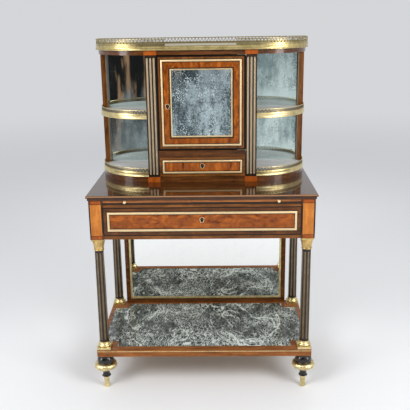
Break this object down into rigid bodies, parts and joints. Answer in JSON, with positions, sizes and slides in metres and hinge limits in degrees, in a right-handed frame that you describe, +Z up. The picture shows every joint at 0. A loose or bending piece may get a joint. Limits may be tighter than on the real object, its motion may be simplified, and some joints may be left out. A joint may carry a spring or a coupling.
{
  "type": "bonheur du jour",
  "caption": "Small mahogany writing table on fluted columns with a marble shelf, a frieze drawer, a pull-out writing slide and a mirrored upper stage with a cabinet door and open niches.",
  "frame": {"origin": "on the floor, under the middle of the table top", "axes": "+Z up, -Y towards the person who sits at it, +X to that person's right"},
  "size_m": [0.82, 0.4748, 1.265],
  "materials": {
    "mahogany": "french polished mahogany veneer, gloss",
    "figured_veneer": "lighter figured mahogany veneer, gloss",
    "ebonised_wood": "black stained and polished",
    "oak": "plain secondary wood, unpolished",
    "brass": "gilt brass, worn gloss",
    "dark_marble": "polished grey-green marble with white veins",
    "white_marble": "polished white marble with grey veins",
    "mirror": "old silvered glass with foxing",
    "leather": "dark green tooled leather",
    "steel": "filed steel"
  },
  "bodies": {
    "carcass": {"table_top": "mahogany", "corner_posts": "mahogany", "side_rails": "mahogany", "front_rails": "mahogany", "columns": "mahogany", "shelf_rails": "mahogany", "back_mirror_frame": "mahogany", "gradin_base": "mahogany", "cornice": "mahogany", "cabinet_sides": "mahogany", "gradin_posts": "mahogany", "pilasters": "mahogany", "niche_boards": "mahogany", "cabinet_divider": "mahogany", "post_panels": "figured_veneer", "pilaster_blocks": "figured_veneer", "feet": "ebonised_wood", "back_rail": "oak", "drawer_runners": "oak", "shelf_board": "oak", "back_mirror_board": "oak", "gradin_back": "oak", "column_mounts": "brass", "back_mirror_bead": "brass", "foot_rings": "brass", "foot_sabots": "brass", "flute_liners": "brass", "niche_bands": "brass", "niche_galleries": "brass", "top_band": "brass", "top_gallery": "brass", "frame_leaves": "brass", "shelf_marble": "dark_marble", "niche_marbles": "white_marble", "top_marble": "white_marble", "back_mirror_glass": "mirror", "niche_mirrors": "mirror"},
    "drawer": {"drawer_front": "mahogany", "drawer_box": "oak", "drawer_moulding": "brass", "drawer_escutcheon": "brass", "drawer_lock": "steel"},
    "drawer_lock_bolt": {"drawer_bolt": "steel"},
    "slide": {"writing_slide": "mahogany", "slide_leather": "leather", "slide_knobs": "brass"},
    "small_drawer": {"small_drawer_front": "mahogany", "small_drawer_box": "oak", "small_drawer_moulding": "brass", "small_drawer_escutcheon": "brass", "small_drawer_lock": "steel"},
    "small_lock_bolt": {"small_drawer_bolt": "steel"},
    "door": {"door_frame": "mahogany", "door_mouldings": "brass", "door_mirror": "mirror", "door_panel": "oak", "door_escutcheon": "brass", "door_lock": "steel", "door_leaves": "brass"},
    "door_lock_bolt": {"door_bolt": "steel"}
  },
  "joints": [
    {"name": "drawer_slide", "type": "slide", "parent": "carcass", "child": "drawer", "axis": [0, -1, 0], "range_m": [0, 0.26]},
    {"name": "drawer_bolt_throw", "type": "slide", "parent": "drawer", "child": "drawer_lock_bolt", "axis": [0, 0, 1], "range_m": [0, 0.007]},
    {"name": "writing_slide_pull", "type": "slide", "parent": "carcass", "child": "slide", "axis": [0, -1, 0], "range_m": [0, 0.24]},
    {"name": "small_drawer_slide", "type": "slide", "parent": "carcass", "child": "small_drawer", "axis": [0, -1, 0], "range_m": [0, 0.14]},
    {"name": "small_bolt_throw", "type": "slide", "parent": "small_drawer", "child": "small_lock_bolt", "axis": [0, 0, 1], "range_m": [0, 0.007]},
    {"name": "door_hinge", "type": "hinge", "parent": "carcass", "child": "door", "pos_m": [0.159, -0.0308, 1.0385], "axis": [0, 0, 1], "range_deg": [0, 110]},
    {"name": "door_bolt_throw", "type": "slide", "parent": "door", "child": "door_lock_bolt", "axis": [-1, 0, 0], "range_m": [0, 0.007]}
  ]
}
